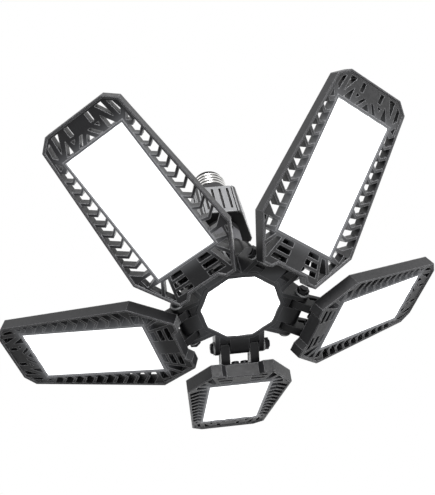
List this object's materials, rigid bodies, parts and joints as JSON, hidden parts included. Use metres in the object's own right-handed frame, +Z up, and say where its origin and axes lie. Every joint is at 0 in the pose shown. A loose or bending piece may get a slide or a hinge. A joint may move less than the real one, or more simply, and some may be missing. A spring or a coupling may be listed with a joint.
{
  "type": "folding ceiling light",
  "caption": "Screw-in ceiling light: five-sided grooved driver barrel, ten-sided lit hub and hinged lit leaves that tilt on their own, each in an open cast frame.",
  "frame": {"origin": "on the axis of the screw base, at the top face of the barrel cap's collar, which meets the rim of the lamp socket", "axes": "+Z up along the screw base into the socket, so the light hangs below Z = 0; +Y out along the leaf named bottom; the side towards -Y has no leaf on it but the gap between the two upper leaves"},
  "size_m": [0.3169, 0.3049, 0.1743],
  "materials": {
    "nickel_shell": "nickel-plated brass, thread rolled",
    "insulator_glass": "black vitreous insulator",
    "contact_metal": "tinned contact",
    "barrel_plastic": "black moulded",
    "barrel_metal": "silver-grey extruded",
    "circuit_board": "solder mask",
    "driver_part": "moulded cases",
    "lead_cover": "silicone-covered wire",
    "seal_rubber": "black seal",
    "cast_black": "die-cast, black powder coat",
    "neck_grey": "die-cast, satin dark grey",
    "board_white": "white solder mask on aluminium",
    "led_phosphor": "phosphor lens",
    "lens_white": "frosted milk-white diffuser",
    "zinc_steel": "zinc plated",
    "washer_nylon": "natural nylon washers",
    "black_steel": "blackened"
  },
  "bodies": {
    "hub": {"screw_shell": "nickel_shell", "base_insulator": "insulator_glass", "centre_contact": "contact_metal", "barrel_cap": "barrel_plastic", "driver_barrel": "barrel_metal", "driver_board": "circuit_board", "driver_parts": "driver_part", "supply_leads": "lead_cover", "neck_ring": "seal_rubber", "neck_housing": "neck_grey", "hub_dome": "cast_black", "hub_housing": "cast_black", "hub_board": "board_white", "hub_leds": "led_phosphor", "hub_lens": "lens_white", "hub_screws": "zinc_steel", "pivot_bolt_right": "black_steel", "pivot_washers_right": "washer_nylon", "pivot_bolt_bottom": "black_steel", "pivot_washers_bottom": "washer_nylon", "pivot_bolt_left": "black_steel", "pivot_washers_left": "washer_nylon", "pivot_bolt_upper_left": "black_steel", "pivot_washers_upper_left": "washer_nylon", "pivot_bolt_upper_right": "black_steel", "pivot_washers_upper_right": "washer_nylon"},
    "leaf_right": {"leaf_frame_right": "cast_black", "leaf_bracket_right": "cast_black", "leaf_board_right": "board_white", "leaf_leds_right": "led_phosphor", "leaf_lens_right": "lens_white", "bracket_screws_right": "zinc_steel"},
    "leaf_bottom": {"leaf_frame_bottom": "cast_black", "leaf_bracket_bottom": "cast_black", "leaf_board_bottom": "board_white", "leaf_leds_bottom": "led_phosphor", "leaf_lens_bottom": "lens_white", "bracket_screws_bottom": "zinc_steel"},
    "leaf_left": {"leaf_frame_left": "cast_black", "leaf_bracket_left": "cast_black", "leaf_board_left": "board_white", "leaf_leds_left": "led_phosphor", "leaf_lens_left": "lens_white", "bracket_screws_left": "zinc_steel"},
    "leaf_upper_left": {"leaf_frame_upper_left": "cast_black", "leaf_bracket_upper_left": "cast_black", "leaf_board_upper_left": "board_white", "leaf_leds_upper_left": "led_phosphor", "leaf_lens_upper_left": "lens_white", "bracket_screws_upper_left": "zinc_steel"},
    "leaf_upper_right": {"leaf_frame_upper_right": "cast_black", "leaf_bracket_upper_right": "cast_black", "leaf_board_upper_right": "board_white", "leaf_leds_upper_right": "led_phosphor", "leaf_lens_upper_right": "lens_white", "bracket_screws_upper_right": "zinc_steel"}
  },
  "joints": [
    {"name": "right_tilt", "type": "hinge", "parent": "hub", "child": "leaf_right", "pos_m": [0.03614, 0.01174, -0.1253], "axis": [-0.309, 0.9511, 0], "range_deg": [-47.5, 37.5]},
    {"name": "bottom_tilt", "type": "hinge", "parent": "hub", "child": "leaf_bottom", "pos_m": [0, 0.038, -0.1253], "axis": [-1, 0, 0], "range_deg": [-53.5, 31.5]},
    {"name": "left_tilt", "type": "hinge", "parent": "hub", "child": "leaf_left", "pos_m": [-0.03614, 0.01174, -0.1253], "axis": [-0.309, -0.9511, 0], "range_deg": [-59.5, 25.5]},
    {"name": "upper_left_tilt", "type": "hinge", "parent": "hub", "child": "leaf_upper_left", "pos_m": [-0.02234, -0.03074, -0.1253], "axis": [0.809, -0.5878, 0], "range_deg": [-59, 26]},
    {"name": "upper_right_tilt", "type": "hinge", "parent": "hub", "child": "leaf_upper_right", "pos_m": [0.02234, -0.03074, -0.1253], "axis": [0.809, 0.5878, 0], "range_deg": [-48, 37]}
  ]
}
